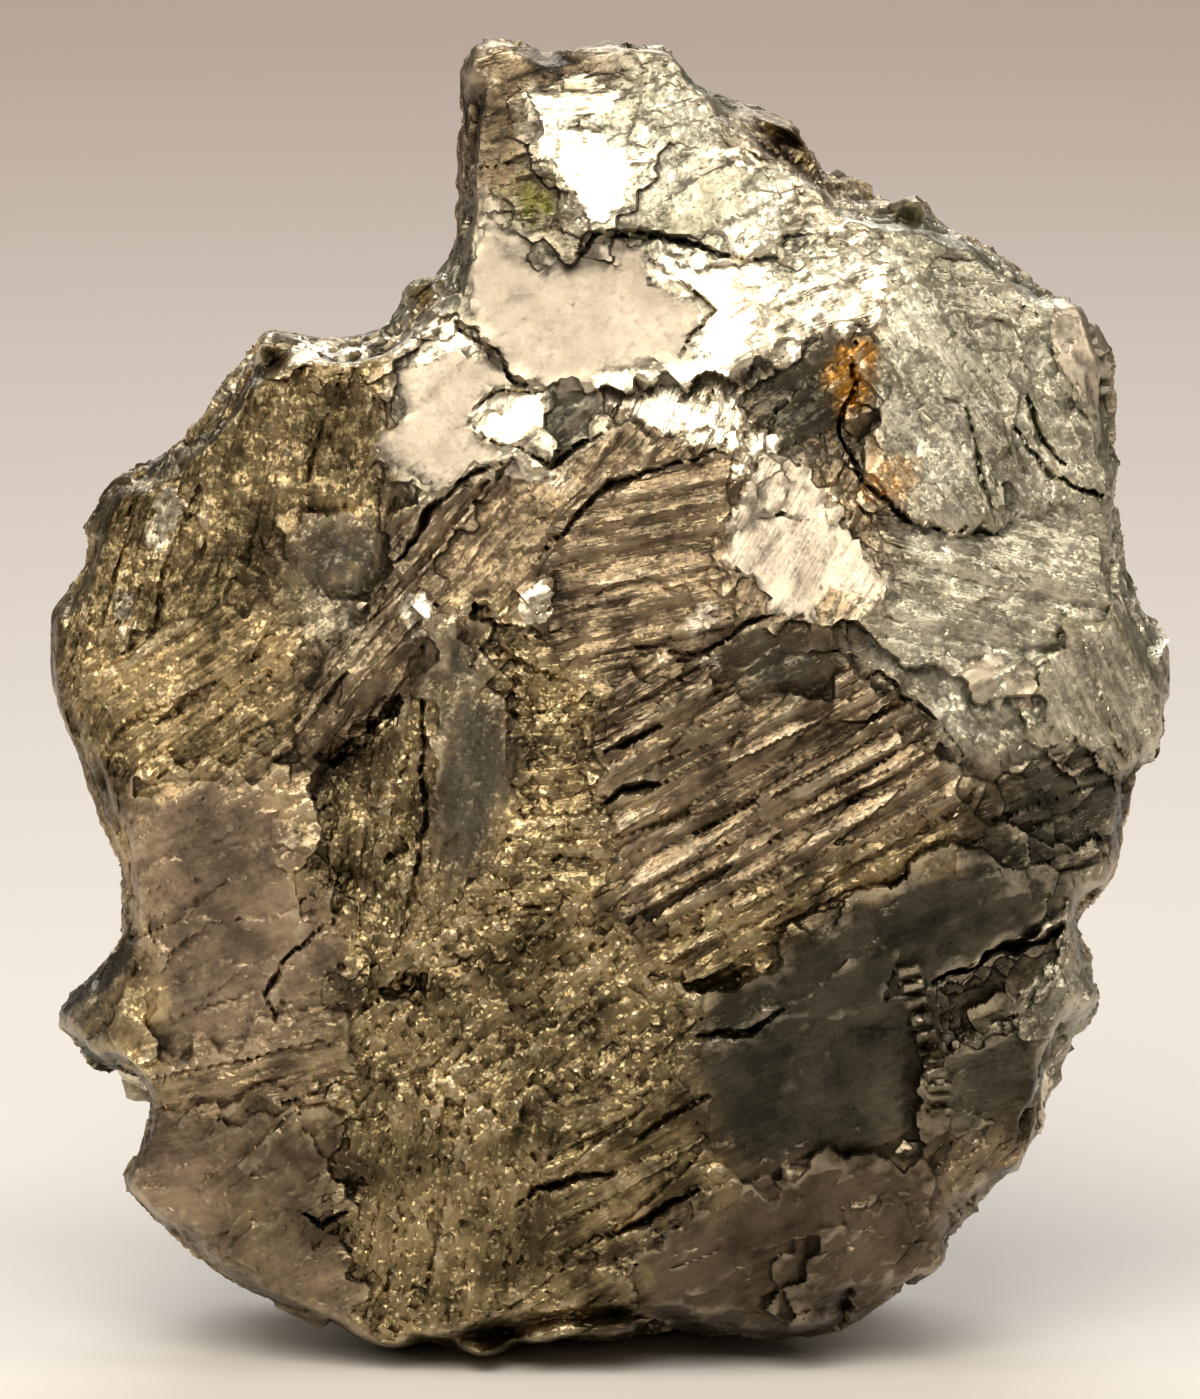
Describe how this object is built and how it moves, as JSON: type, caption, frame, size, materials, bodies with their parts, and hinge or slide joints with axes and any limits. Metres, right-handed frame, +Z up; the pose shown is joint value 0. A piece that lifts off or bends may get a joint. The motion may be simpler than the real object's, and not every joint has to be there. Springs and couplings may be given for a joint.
{
  "type": "bismuth crystal specimen",
  "caption": "Broken lump of native bismuth with bright cleavage faces, ridged twin bands, ledges and cracks, standing on a flat foot.",
  "frame": {"origin": "centre of the bounding box in plan, on the surface that the lump stands on", "axes": "+Z up, +X to the right as the show face is seen, -Y out of the show face"},
  "size_m": [0.0558, 0.0348, 0.0649],
  "materials": {
    "bismuth": "native bismuth: bright pinkish cleavage faces among grey, brown and gold tarnished metal"
  },
  "bodies": {
    "root": {"bismuth_crystal": "bismuth"}
  },
  "joints": []
}
